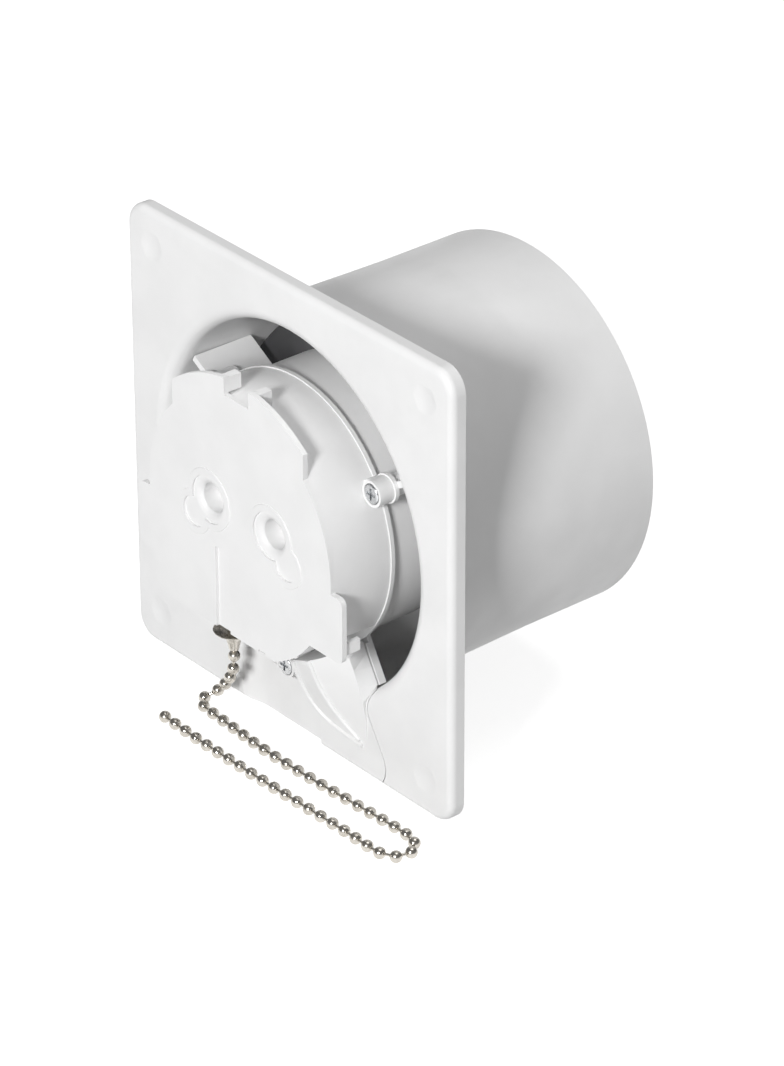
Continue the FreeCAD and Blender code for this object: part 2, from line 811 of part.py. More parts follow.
def build_terminal_box():
    """Cup with a floor, a thin flange and three screw bosses, cut flat below."""
    body = box_form("box_outside", "0", BOX_FRONT, "0")
    slab(body, "-flange_thickness", "0", rings=[("0", "0", "flange_radius")])
    for angle, inner, outer in (("arm_angle", "box_radius - box_wall", "boss_circle_radius"),
                                ("(180 - arm_angle)", "box_radius - box_wall", "boss_circle_radius"),
                                ("270", "box_bottom - box_wall", "foot_boss_drop")):
        slab(body, "boss_web_drop - boss_length", "0", corners=spoke(angle, inner, outer, "2 * boss_radius"))
    slab(body, "-boss_length", "0", rings=[(*spot, "boss_radius") for spot in BOSS_SPOTS])
    slab(body, "-flange_thickness", "0", rings=[(*spot, "ear_radius") for spot in BOSS_SPOTS])
    slab(body, "-boss_length - overrun", "boss_recess_depth - boss_length",
         rings=[(*spot, "boss_recess_radius") for spot in BOSS_SPOTS], cut=True)
    slab(body, "-boss_length - overrun", "overrun",
            rings=[(*spot, "screw_hole_radius") for spot in BOSS_SPOTS], cut=True)
    slab(body, f"{BOX_FRONT} - overrun", "overrun",
         rings=[("-lead_hole_left", "-lead_hole_drop", "lead_hole_radius")], cut=True)
    below = "-box_bottom - overrun"
    column(body, below, "box_wall - box_bottom",
            rings=[("-pull_left", "-pull_reach", "pull_hole_radius")], cut=True)
    column(body, below, "box_wall - box_bottom", corners=[
        ("cable_hole_left", "-cable_hole_reach"), ("cable_hole_left + cable_hole_width", "-cable_hole_reach"),
        ("cable_hole_left + cable_hole_width", "cable_hole_depth - cable_hole_reach"),
        ("cable_hole_left", "cable_hole_depth - cable_hole_reach")], cut=True)
    hollow = box_form("box_inside", "box_wall", f"{BOX_FRONT} - overrun", "-box_floor")
    keep(boolean("Cut", body, hollow), "terminal_box")


def socket_funnel(across):
    """Cutter for one socket: a dish that rounds into a blind hole."""
    front = -size("cover_reach")
    hole, clear = size("socket_hole_radius"), front - size("overrun")
    rim = FreeCAD.Vector(size("socket_dish_radius"), front + size("socket_lobe_depth"), 0)
    throat = FreeCAD.Vector(size("socket_throat_radius"), front + size("socket_throat_depth"), 0)
    edge = FreeCAD.Vector(hole, front + size("socket_rim_depth"), 0)
    spots = [edge, FreeCAD.Vector(hole, front + size("socket_depth"), 0),
             FreeCAD.Vector(0, front + size("socket_depth"), 0), FreeCAD.Vector(0, clear, 0),
             FreeCAD.Vector(rim.x, clear, 0), rim]
    lines = [Part.LineSegment(a, b).toShape() for a, b in zip(spots, spots[1:])]
    wire = Part.Wire([Part.Arc(rim, throat, edge).toShape(), *lines])
    solid = Part.Face(wire).revolve(FreeCAD.Vector(), FreeCAD.Vector(0, 1, 0), 360)
    solid.translate(FreeCAD.Vector(across, 0, size("socket_height")))
    return shaped("socket_funnel", solid)


def build_front_cover():
    """Flat cover with a crown, a top notch, side ears, two socket dishes and an upright groove."""
    body = new_body("front_cover_body")
    front, back = "-cover_reach", BOX_FRONT
    far = "plate_side / 2"
    slab(body, front, back, rings=[("0", "0", "crown_radius")])
    slab(body, front, back, corners=rectangle(f"-{far}", "-crown_half_width", f"-{far}", far), cut=True)
    slab(body, front, back, corners=rectangle("crown_half_width", far, f"-{far}", far), cut=True)
    slab(body, front, back, corners=rectangle(f"-{far}", far, f"-{far}", "crown_foot"), cut=True)
    slab(body, front, back, rings=[("0", "0", "box_radius")])
    slab(body, front, back, corners=rectangle("0", far, f"-{far}", "-cover_ear_bottom"), cut=True)
    slab(body, front, back, rings=[("0", "0", "box_lower_radius")])
    slab(body, front, back, corners=rectangle(
        "-cover_ear_reach", "cover_ear_reach", "-cover_ear_bottom", "-cover_ear_top"))
    slab(body, front, back, corners=rectangle("-cover_corner_reach", "0", "-cover_bottom",
            "-cover_ear_bottom"))
    slab(body, front, back, corners=rectangle(f"-{far}", far, f"-{far}", "-cover_bottom"), cut=True)
    slab(body, front, back, corners=rectangle("-notch_half_width", "notch_half_width",
            "notch_floor", far), cut=True)
    slab(body, front, back, corners=rectangle(
        "cover_slot_left", "cover_slot_left + cover_slot_width", f"-{far}",
        "cover_slot_height - cover_bottom"), cut=True)
    ear = size("cover_ear_reach")
    near = size("cover_thickness") / 2
    round_edges(body, "cover_ear_round", lambda edge: along_y(edge)
                and abs(abs(edge.BoundBox.XMin) - ear) < near)
    round_edges(body, "cover_corner_radius", lambda edge: along_y(edge)
                and abs(edge.BoundBox.XMin + size("cover_corner_reach")) < near
                and edge.BoundBox.ZMin < -size("cover_bottom") + near)
    sockets = [(f"{side} * socket_spread + socket_shift", side) for side in ("-1", "1")]
    for across, side in sockets:
        lobe = (f"{across} + {side} * socket_lobe_out", "socket_height - socket_lobe_down")
        slab(body, f"{front} - socket_lip_height", back,
             rings=[(across, "socket_height", "socket_dish_radius + socket_lip")])
        slab(body, f"{front} - socket_lip_height", back, rings=[(*lobe, "socket_lobe_radius + socket_lip")])
        slab(body, back, f"{front} + socket_depth + socket_tube_end",
             rings=[(across, "socket_height", "socket_tube_radius")])
    lip = -size("cover_reach") - size("socket_lip_height")
    round_edges(body, "socket_lip_height * 0.9", lambda edge: at_depth(edge, lip))
    for across, side in sockets:
        lobe = (f"{across} + {side} * socket_lobe_out", "socket_height - socket_lobe_down")
        slab(body, f"{front} - overrun", f"{front} + socket_lobe_depth",
             rings=[(*lobe, "socket_lobe_radius")], cut=True)
        slab(body, f"{front} - overrun", f"{front} + socket_lobe_depth",
             rings=[(across, "socket_height", "socket_dish_radius")], cut=True)
    slab(body, f"{front} - overrun", "groove_depth - cover_reach", corners=rectangle(
        "-groove_left", "-groove_right", "-cover_bottom - overrun", "-groove_top"), cut=True)
    tab_inner, tab_outer = "notch_half_width", "notch_half_width + notch_tab_width"
    tab_top = "sqrt(crown_radius ^ 2 - (notch_half_width + notch_tab_width) ^ 2)"
    for left, right in ((f"-({tab_outer})", f"-{tab_inner}"), (tab_inner, tab_outer)):
        slab(body, back, f"{back} + notch_tab_length",
                corners=rectangle(left, right, "box_radius + seam_gap", tab_top))
    hook_foot = "-cover_ear_bottom + cover_ear_round"
    for left, right in (("cover_ear_reach - hook_inset - hook_thickness", "cover_ear_reach - hook_inset"),
                        ("hook_inset - cover_ear_reach", "hook_inset + hook_thickness - cover_ear_reach")):
        hook = slab(body, back, f"{back} + hook_length", corners=rectangle(
            left, right, hook_foot, f"{hook_foot} + hook_height"))
    body.Tip = hook
    cover = body
    for side in (-1, 1):
        cover = boolean("Cut", cover, socket_funnel(side * size("socket_spread") + size("socket_shift")))
    keep(cover, "front_cover")


def build_box_screws():
    """Three cross-head screws that hold the box to the spider."""
    body = new_body("box_screws_body")
    seat = "boss_recess_depth - boss_length"
    face = f"{seat} - screw_head_height"
    slab(body, face, seat, rings=[(*spot, "screw_head_radius") for spot in BOSS_SPOTS])
    slab(body, seat, f"{seat} + screw_length", rings=[(*spot, "screw_shank_radius") for spot in BOSS_SPOTS])
    for across, along in BOSS_SPOTS:
        for wide, high in (("screw_cross_length", "screw_cross_width"), ("screw_cross_width",
                "screw_cross_length")):
            slab(body, f"{face} - overrun", f"{face} + screw_cross_depth", corners=rectangle(
                f"{across} - {wide} / 2", f"{across} + {wide} / 2",
                f"{along} - {high} / 2", f"{along} + {high} / 2"), cut=True)
    depth = size("boss_recess_depth") - size("boss_length") - size("screw_head_height")
    round_edges(body, "screw_head_round", lambda edge: at_depth(edge, depth)
                and edge.Length > 2 * size("screw_cross_length"))
    keep(body, "box_screws")


# Terminal block and pull switch

POLE_SHARES = (1 / 6, 1 / 2, 5 / 6)
BLOCK_FRONT = "-box_floor - block_depth"
BLOCK_MIDDLE = "-box_floor - block_depth / 2"
BLOCK_TOP = "block_height - block_foot"


def pole(share):
    """Place of one pole across the terminal block."""
    return f"block_left + block_width * {share}"


def build_terminal_block():
    """Insulating block with an upright wire hole and a front screw hole for each pole."""
    body = new_body("terminal_block_body")
    slab(body, BLOCK_FRONT, "-box_floor", corners=rectangle(
        "block_left", "block_left + block_width", "-block_foot", BLOCK_TOP))
    column(body, "-block_foot - overrun", f"{BLOCK_TOP} + overrun",
           rings=[(pole(share), BLOCK_MIDDLE, "block_wire_radius") for share in POLE_SHARES], cut=True)
    middle = "block_height / 2 - block_foot"
    wells = slab(body, f"{BLOCK_FRONT} - overrun", f"{BLOCK_FRONT} + block_screw_length",
                 rings=[(pole(share), middle, "block_screw_radius") for share in POLE_SHARES], cut=True)
    body.Tip = wells
    keep(body, "terminal_block")
    screws = new_body("terminal_screws_body")
    head = f"{BLOCK_FRONT} + block_screw_inset"
    slab(screws, head, f"{BLOCK_FRONT} + block_screw_length",
         rings=[(pole(share), middle, "block_screw_radius - block_screw_gap") for share in POLE_SHARES])
    for share in POLE_SHARES:
        slot = slab(screws, f"{head} - overrun", f"{head} + block_screw_slot", corners=rectangle(
            f"{pole(share)} - block_screw_radius", f"{pole(share)} + block_screw_radius",
            f"{middle} - block_screw_slot / 2", f"{middle} + block_screw_slot / 2"), cut=True)
    screws.Tip = slot
    keep(screws, "terminal_screws")


SWITCH_FOOT = "box_wall - box_bottom"
SWITCH_TOP = f"{SWITCH_FOOT} + switch_height"
SWITCH_FRONT = "-pull_reach - switch_depth / 2"
SWITCH_BACK = "-pull_reach + switch_depth / 2"
CAVITY_FOOT = f"{SWITCH_FOOT} + switch_floor"
CAVITY_TOP = f"{SWITCH_TOP} - switch_roof"
CAM_FOOT = "cam_gap - plunger_head_drop"


def build_pull_switch():
    """Switch case with its lid, plunger, return spring, ratchet cam and two contact tabs."""
    case = new_body("switch_case_body")
    left, right = "-pull_left - switch_width / 2", "switch_width / 2 - pull_left"
    slab(case, f"{SWITCH_FRONT} + switch_lid", SWITCH_BACK,
            corners=rectangle(left, right, SWITCH_FOOT, SWITCH_TOP))
    slab(case, f"{SWITCH_FRONT} - overrun", "switch_bore_radius - pull_reach", corners=rectangle(
        "-pull_left - switch_bore_radius", "switch_bore_radius - pull_left", CAVITY_FOOT,
        CAVITY_TOP), cut=True)
    column(case, f"{SWITCH_FOOT} - overrun", f"{CAVITY_FOOT} + overrun", rings=[
        ("-pull_left", "-pull_reach", "plunger_rod_radius + plunger_guide_gap")], cut=True)
    case.Tip = column(case, f"{CAM_FOOT} + cam_gap", CAVITY_TOP,
            rings=[("-pull_left", "-pull_reach", "cam_pin_radius")])
    keep(case, "switch_case")
    lid = new_body("switch_lid_body")
    slab(lid, SWITCH_FRONT, f"{SWITCH_FRONT} + switch_lid",
            corners=rectangle(left, right, SWITCH_FOOT, SWITCH_TOP))
    keep(lid, "switch_lid")
    plunger = new_body("switch_plunger_body")
    column(plunger, "-bell_rim_drop", "-plunger_head_drop",
            rings=[("-pull_left", "-pull_reach", "plunger_rod_radius")])
    plunger.Tip = column(plunger, "-plunger_head_drop - plunger_head_height", "-plunger_head_drop",
                         rings=[("-pull_left", "-pull_reach", "plunger_head_radius")])
    keep(plunger, "switch_plunger")
    cam = new_body("switch_cam_body")
    column(cam, "0", "cam_height", rings=[("0", "0", "cam_radius")])
    notch = column(cam, "-overrun", "cam_tooth_depth", corners=spoke(
        "0", "cam_radius / 2", "cam_radius + overrun", "cam_tooth_depth"), cut=True)
    teeth = cam.newObject("PartDesign::PolarPattern", "PolarPattern")
    teeth.Originals = [notch]
    teeth.Axis = (origin_feature(cam, "Z_Axis"), [""])
    teeth.Angle = 360
    tie(teeth, Occurrences="cam_teeth")
    cam.Tip = teeth
    cam.Tip = column(cam, "-overrun", "cam_height + overrun",
            rings=[("0", "0", "cam_pin_radius + cam_pin_gap")], cut=True)
    tie(cam, Placement__Base__x="-pull_left", Placement__Base__y="-pull_reach", Placement__Base__z=CAM_FOOT)
    keep(cam, "switch_cam")
    contacts = new_body("switch_contacts_body")
    for side in ("-1", "1"):
        middle = f"{side} * contact_spread - pull_left"
        tab = column(contacts, SWITCH_TOP, f"{SWITCH_TOP} + contact_length", corners=[
            (f"{middle} - contact_width / 2", "-pull_reach - contact_thickness / 2"),
            (f"{middle} + contact_width / 2", "-pull_reach - contact_thickness / 2"),
            (f"{middle} + contact_width / 2", "-pull_reach + contact_thickness / 2"),
            (f"{middle} - contact_width / 2", "-pull_reach + contact_thickness / 2")])
    contacts.Tip = tab
    keep(contacts, "switch_contacts")


def build_switch_spring():
    """Return spring round the plunger, a wire of open turns between the case floor and the head."""
    foot = size("box_wall") - size("box_bottom") + size("switch_floor") + size("spring_end_gap")
    top = -size("plunger_head_drop") - size("plunger_head_height") - size("spring_end_gap")
    wire = size("spring_wire_radius")
    height = top - foot - 2 * wire
    radius = size("spring_radius")
    helix = Part.makeHelix(height / size("spring_turns"), height, radius)
    ring = Part.Wire(Part.makeCircle(wire, FreeCAD.Vector(radius, 0, 0), FreeCAD.Vector(0, 1, 0)))
    spring = shaped("spring_wire", Part.Wire(helix).makePipeShell([ring], True, False))
    tie(spring, Placement__Base__x="-pull_left", Placement__Base__y="-pull_reach")
    tie(spring, Placement__Base__z=f"{CAVITY_FOOT} + spring_end_gap + spring_wire_radius")
    keep(spring, "switch_spring")


# Pull chain

def build_chain():
    """Trumpet-shaped bell on the plunger and the bead chain that hangs from it."""
    bell = new_body("chain_bell_body")
    sketch = outline(bell, "XZ_Plane", [
        ("0", "-bell_rim_drop"), ("bell_rim_radius", "-bell_rim_drop"),
        ("bell_rim_radius", "-bell_rim_drop - bell_wall"), ("bell_waist_radius", "-bell_waist_drop"),
        ("bell_neck_radius", "-bell_neck_drop"), ("0", "-bell_neck_drop")])
    turn = feature(bell, "Revolution", sketch)
    turn.ReferenceAxis = (sketch, ["V_Axis"])
    turn.Angle = 360
    tie(bell, Placement__Base__x="-pull_left", Placement__Base__y="-pull_reach")
    keep(bell, "chain_bell")
    keep(shaped("chain_tube", tube(CHAIN_ROUTE, size("chain_diameter") / 2, BEND_SHARE)), "bead_chain")


# Motor

CORE_BACK = "core_front + core_stack"
BOLTS = [(BOLT_SPREAD, "0", "bolt_radius + bolt_gap"), (f"-{BOLT_SPREAD}", "0", "bolt_radius + bolt_gap")]


def bar(body, left, right, corners):
    """Add a bar that runs along X, from an outline of (depth, height) corners."""
    sketch = outline(body, "YZ_Plane", corners, left)
    return feature(body, "Pad", sketch, Length=f"({right}) - ({left})")


def bar_cut(body, left, right, corners):
    """Cut along X with an outline of (depth, height) corners."""
    item = feature(body, "Pocket", outline(body, "YZ_Plane", corners, left), Length=f"({right}) - ({left})")
    item.Reversed = True
    return item


def round_yoke(grow):
    """Corners of the core's lower yoke, grown by a formula on every side."""
    low, high = f"-core_foot - ({grow})", f"core_yoke - core_foot + ({grow})"
    near, far = f"core_front - ({grow})", f"{CORE_BACK} + ({grow})"
    return [(near, low), (far, low), (far, high), (near, high)]


def build_stator():
    """Laminated core with its coil, wound on a bobbin round the lower yoke."""
    core = new_body("stator_core_body")
    slab(core, "core_front", CORE_BACK,
            corners=rectangle("-core_half_width", "core_half_width", "-core_foot", "core_top"))
    limb = "core_half_width - core_limb"
    slab(core, "core_front - overrun", f"{CORE_BACK} + overrun", corners=rectangle(
        f"-({limb})", limb, "core_yoke - core_foot", "-core_window_top"), cut=True)
    core.Tip = slab(core, "core_front - overrun", f"{CORE_BACK} + overrun",
                    rings=[("0", "0", "rotor_radius + air_gap"), *BOLTS], cut=True)
    keep(core, "stator_core")
    bobbin = new_body("coil_bobbin_body")
    end = f"{limb} - bobbin_gap"
    inner, outer = "bobbin_gap", "bobbin_gap + bobbin_wall"
    bar(bobbin, f"-({end})", end, round_yoke(outer))
    rim = f"{outer} + bobbin_flange"
    bar(bobbin, f"-({end})", f"bobbin_wall - ({end})", round_yoke(rim))
    bar(bobbin, f"{end} - bobbin_wall", end, round_yoke(rim))
    bobbin.Tip = bar_cut(bobbin, f"-({end}) - overrun", f"{end} + overrun", round_yoke(inner))
    keep(bobbin, "coil_bobbin")
    winding = new_body("coil_winding_body")
    reach = f"{end} - bobbin_wall - winding_gap"
    bar(winding, f"-({reach})", reach, round_yoke(f"{outer} + winding_thickness"))
    winding.Tip = bar_cut(winding, f"-({reach}) - overrun", f"{reach} + overrun",
            round_yoke(f"{outer} + winding_gap"))
    keep(winding, "coil_winding")


def build_brackets():
    """Bearing brackets before and behind the core, with their bushes and the two through bolts."""
    sides = {
        "front": ("core_front - bracket_sheet", "core_front", "shaft_front", "core_front",
        "shaft_front + bush_inset"),
        "rear": (CORE_BACK, f"{CORE_BACK} + bracket_sheet", CORE_BACK, "hub_length - bush_inset",
                 "hub_length - 2 * bush_inset - bush_length"),
    }
    for side, (near, far, rim_near, rim_far, bush_near) in sides.items():
        bracket = new_body(f"{side}_bracket_body")
        half = "bracket_width / 2"
        slab(bracket, near, far,
                corners=rectangle("-bracket_half_length", "bracket_half_length", f"-{half}", half))
        slab(bracket, rim_near, rim_far, rings=[("0", "0", "bracket_rim_radius")])
        if side == "rear":
            slab(bracket, far, "hub_length - hub_web", rings=[
                (BOLT_SPREAD, "0", "bracket_foot_radius"), (f"-{BOLT_SPREAD}", "0", "bracket_foot_radius")])
        slab(bracket, f"{rim_near} - overrun", f"{rim_far} + overrun",
                rings=[("0", "0", "bush_radius")], cut=True)
        bracket.Tip = slab(bracket, f"{near} - overrun", "hub_length + overrun", rings=BOLTS, cut=True)
        keep(bracket, f"{side}_bracket")
        bush = new_body(f"{side}_bush_body")
        turned(bush, [("shaft_radius + shaft_running_gap", bush_near), ("bush_radius", bush_near),
                      ("bush_radius", f"{bush_near} + bush_length"),
                      ("shaft_radius + shaft_running_gap", f"{bush_near} + bush_length")])
        keep(bush, f"{side}_bush")
    bolts = new_body("motor_bolts_body")
    seat = "core_front - bracket_sheet"
    slab(bolts, f"{seat} - bolt_head_height", seat, rings=[
        (BOLT_SPREAD, "0", "bolt_head_radius"), (f"-{BOLT_SPREAD}", "0", "bolt_head_radius")])
    bolts.Tip = slab(bolts, seat, "hub_length", rings=[
        (BOLT_SPREAD, "0", "bolt_radius"), (f"-{BOLT_SPREAD}", "0", "bolt_radius")])
    keep(bolts, "motor_bolts")


IMPELLER_BACK = "impeller_front + impeller_boss_length"


def build_rotor():
    """Shaft with the squirrel-cage rotor on it."""
    shaft = new_body("motor_shaft_body")
    turned(shaft, [("0", "shaft_front"), ("shaft_radius", "shaft_front"),
                   ("shaft_radius", f"{IMPELLER_BACK} + shaft_tail"), ("0", f"{IMPELLER_BACK} + shaft_tail")])
    keep(shaft, "motor_shaft")
    rotor = new_body("rotor_body")
    near, far = "core_front + rotor_inset", f"{CORE_BACK} - rotor_inset"
    turned(rotor, [("shaft_radius", near), ("rotor_radius", near), ("rotor_radius", far),
            ("shaft_radius", far)])
    keep(rotor, "rotor")


# Impeller

def blade_section(height, sweep):
    """Cambered section of a blade at one height above the axis."""
    near = size("impeller_front") + size("blade_inset")
    long = size("blade_axial_length")
    camber = size("blade_camber")
    half = size("blade_thickness") / 2
    slope = math.hypot(sweep, long)
    normal = FreeCAD.Vector(long / slope, -sweep / slope, 0)
    nose = FreeCAD.Vector(-sweep / 2, near, height)
    tail = FreeCAD.Vector(sweep / 2, near + long, height)
    crest = (nose + tail) / 2 + normal * camber
    upper = Part.Arc(nose + normal * half, crest + normal * half, tail + normal * half)
    lower = Part.Arc(tail - normal * half, crest - normal * half, nose - normal * half)
    return Part.Wire([
        upper.toShape(), Part.LineSegment(tail + normal * half, tail - normal * half).toShape(),
        lower.toShape(), Part.LineSegment(nose - normal * half, nose + normal * half).toShape()])


def build_leads():
    """Inner leads between the switch, the terminal block and the coil."""
    radius = size("lead_radius")
    keep(shaped("switch_wire", tube(SWITCH_LEAD_ROUTE, radius, BEND_SHARE)), "switch_lead")
    wires = [tube(route, radius, BEND_SHARE) for route in MOTOR_LEAD_ROUTES]
    keep(shaped("motor_wires", Part.makeCompound(wires)), "motor_leads")


def build_impeller():
    """Cup-shaped hub with ribs and cambered blades, pushed on the shaft and held by a clip."""
    hub = new_body("impeller_hub")
    front, back = "impeller_front", "impeller_front + impeller_hub_length"
    turned(hub, [
        ("shaft_radius", front), ("impeller_hub_radius", front), ("impeller_hub_radius", back),
        ("impeller_hub_radius - impeller_wall", back),
        ("impeller_hub_radius - impeller_wall", f"{front} + impeller_disc"),
        ("impeller_boss_radius", f"{front} + impeller_disc"), ("impeller_boss_radius", IMPELLER_BACK),
        ("shaft_radius", IMPELLER_BACK)])
    rib = slab(hub, f"{front} + impeller_disc / 2", f"{IMPELLER_BACK} - impeller_disc", corners=spoke(
        "90", "impeller_boss_radius * 0.8", "impeller_hub_radius - impeller_wall / 2",
        "impeller_rib_thickness"))
    copies(hub, [rib], "impeller_rib_count")
    inside = size("impeller_hub_radius") - size("impeller_wall") / 2
    tip_radius = size("duct_radius") - size("duct_wall") - size("blade_tip_gap")
    axis = FreeCAD.Vector(0, 1, 0)
    start = FreeCAD.Vector(0, size("impeller_front"), 0)
    length = size("impeller_hub_length")
    ring = Part.makeCylinder(tip_radius, length, start, axis)
    ring = ring.cut(Part.makeCylinder(inside, length, start, axis))
    sink = inside - size("blade_root_sink")
    tip = tip_radius + size("blade_root_sink")
    blade = Part.makeLoft([blade_section(sink, size("blade_root_sweep")),
                           blade_section(tip, size("blade_tip_sweep"))], True, True)
    blade = blade.common(ring)
    count = int(size("blade_count"))
    blades = [blade.rotated(FreeCAD.Vector(), axis, 360 / count * i) for i in range(count)]
    keep(boolean("Fuse", hub, shaped("blades", Part.makeCompound(blades))), "impeller")
    clip = new_body("impeller_clip_body")
    turned(clip, [("shaft_radius", IMPELLER_BACK), ("clip_radius", IMPELLER_BACK),
                  ("clip_radius", f"{IMPELLER_BACK} + clip_thickness"),
                  ("shaft_radius", f"{IMPELLER_BACK} + clip_thickness")])
    keep(clip, "impeller_clip")


build_housing()
build_cable_cover()
build_motor_spider()
build_terminal_box()
build_front_cover()
build_box_screws()
build_terminal_block()
build_pull_switch()
build_switch_spring()
build_chain()
build_stator()
build_brackets()
build_rotor()
build_impeller()
build_leads()
doc.recompute()
for item in doc.Objects:
    if any(word in item.State for word in ("Invalid", "Error")):
        raise SystemExit(f"{item.Label} failed: {item.State}")
for piece in parts:
    if piece.Shape.isNull() or not piece.Shape.isValid():
        raise SystemExit(f"{piece.Label} has no valid shape")
os.makedirs("parts", exist_ok=True)
for piece in parts:
    piece.Shape.exportStep(f"parts/{piece.Label}.step")
    print(piece.Label, len(piece.Shape.Solids), round(piece.Shape.Volume, 1))
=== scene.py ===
import logging
import math
from dataclasses import dataclass
from enum import Enum
from typing import Callable, Sequence

import bmesh
import bpy
from mathutils import Matrix, Vector


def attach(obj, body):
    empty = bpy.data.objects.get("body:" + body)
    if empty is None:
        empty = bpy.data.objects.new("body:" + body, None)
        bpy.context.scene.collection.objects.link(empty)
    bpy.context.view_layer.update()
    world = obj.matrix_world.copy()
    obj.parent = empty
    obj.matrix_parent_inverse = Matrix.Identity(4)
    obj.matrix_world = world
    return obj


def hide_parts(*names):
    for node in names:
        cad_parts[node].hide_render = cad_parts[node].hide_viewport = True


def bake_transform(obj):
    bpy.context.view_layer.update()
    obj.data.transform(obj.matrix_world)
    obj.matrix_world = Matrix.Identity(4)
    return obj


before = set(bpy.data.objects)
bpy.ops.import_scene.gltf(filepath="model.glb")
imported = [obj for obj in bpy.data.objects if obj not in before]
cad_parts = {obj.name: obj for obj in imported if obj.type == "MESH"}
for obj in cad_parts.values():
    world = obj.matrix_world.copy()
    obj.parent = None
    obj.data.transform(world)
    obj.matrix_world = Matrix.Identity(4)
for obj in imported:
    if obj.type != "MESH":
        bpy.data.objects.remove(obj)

logging.basicConfig(level=logging.INFO, format="%(message)s")
log = logging.getLogger("exhaust_fan")

MM = 0.001
FLOOR_HEIGHT = -78.5 * MM


class Body(str, Enum):
    """Rigid bodies of the fan that pieces ride on."""

    FIXED = "fixed"
    TURNING = "turning"
    PULL = "pull"


class Slot(str, Enum):
    """Material slots of the record."""

    PLASTIC = "white_plastic"
    DARK_PLASTIC = "dark_plastic"
    NICKEL = "nickel"
    SPRING_STEEL = "spring_steel"


# Shader helpers

Socket = bpy.types.NodeSocket


class NodeTree:
    """Small wrapper that adds nodes to a tree and joins them up."""

    def __init__(self, tree: bpy.types.NodeTree) -> None:
        """Keep the tree that nodes are added to."""
        self.tree = tree

    def add(self, kind: str, settings: dict | None = None, **inputs: object) -> bpy.types.Node:
        """Add a node, set its properties and feed its inputs.

        Args:
            kind: Type name of the node, such as ShaderNodeMix.
            settings: Properties of the node by name.
            **inputs: Values or sockets by input name, with underscores for spaces.

        Returns:
            The new node.
        """
        node = self.tree.nodes.new(kind)
        for name, value in (settings or {}).items():
            setattr(node, name, value)
        for name, value in inputs.items():
            self.feed(node.inputs[name.replace("_", " ")], value)
        return node

    def feed(self, target: Socket, value: object) -> None:
        """Link a socket to an input, or set the input's own value."""
        if isinstance(value, bpy.types.NodeSocket):
            self.tree.links.new(value, target)
        else:
            target.default_value = value

    def math(self, operation: str, first: object, second: object) -> Socket:
        """Add a math node and return its value."""
        node = self.add("ShaderNodeMath", {"operation": operation})
        self.feed(node.inputs[0], first)
        self.feed(node.inputs[1], second)
        return node.outputs[0]

    def ramp(self, value: Socket, low: float, high: float, start: float = 0.0, end: float = 1.0) -> Socket:
        """Map a value smoothly from one range to another and return it."""
        node = self.add("ShaderNodeMapRange", {"interpolation_type": "SMOOTHSTEP"})
        for name, number in (("From Min", low), ("From Max", high), ("To Min", start), ("To Max", end)):
            node.inputs[name].default_value = number
        self.feed(node.inputs["Value"], value)
        return node.outputs["Result"]

    def blend(self, share: object, first: object, second: object) -> Socket:
        """Mix two colours by a share and return the colour."""
        node = self.add("ShaderNodeMix", {"data_type": "RGBA"})
        self.feed(node.inputs[0], share)
        self.feed(node.inputs[6], first)
        self.feed(node.inputs[7], second)
        return node.outputs[2]


def shader_group(name: str, inputs: dict[str, float], outputs: Sequence[str],
                 fill: Callable[[NodeTree, bpy.types.Node], dict[str, Socket]]) -> bpy.types.NodeTree:
    """Build a shader node group of float sockets once and reuse it afterwards.

    Args:
        name: Name of the group.
        inputs: Default number of each input.
        outputs: Names of the float outputs.
        fill: Function that builds the inside and returns a socket for each output.

    Returns:
        The node group.
    """
    if name in bpy.data.node_groups:
        return bpy.data.node_groups[name]
    group = bpy.data.node_groups.new(name, "ShaderNodeTree")
    for label, number in inputs.items():
        socket = group.interface.new_socket(label, in_out="INPUT", socket_type="NodeSocketFloat")
        socket.default_value = number
    for label in outputs:
        group.interface.new_socket(label, in_out="OUTPUT", socket_type="NodeSocketFloat")
    nodes = NodeTree(group)
    entry = nodes.add("NodeGroupInput")
    leave = nodes.add("NodeGroupOutput")
    for label, socket in fill(nodes, entry).items():
        nodes.feed(leave.inputs[label], socket)
    return group


def moulded_grain() -> bpy.types.NodeTree:
    """Fine pebble and long flow marks of a moulded plastic skin."""

    def fill(nodes: NodeTree, entry: bpy.types.Node) -> dict[str, Socket]:
        """Lay a fine pebble over a slow waviness."""
        place = nodes.add("ShaderNodeTexCoord").outputs["Object"]
        pebble = nodes.add("ShaderNodeTexNoise", Vector=place, Scale=entry.outputs["Pebble Scale"],
                           Detail=2.0, Roughness=0.6).outputs["Fac"]
        flow = nodes.add("ShaderNodeTexNoise", Vector=place, Scale=entry.outputs["Flow Scale"],
                         Detail=4.0, Roughness=0.55).outputs["Fac"]
        height = nodes.math("ADD", nodes.math("MULTIPLY", pebble, 0.35), nodes.math("MULTIPLY", flow, 0.65))
        return {"Height": height, "Flow": nodes.ramp(flow, 0.3, 0.7)}

    return shader_group("Moulded Grain", {"Pebble Scale": 2600.0, "Flow Scale": 55.0},
                        ("Height", "Flow"), fill)


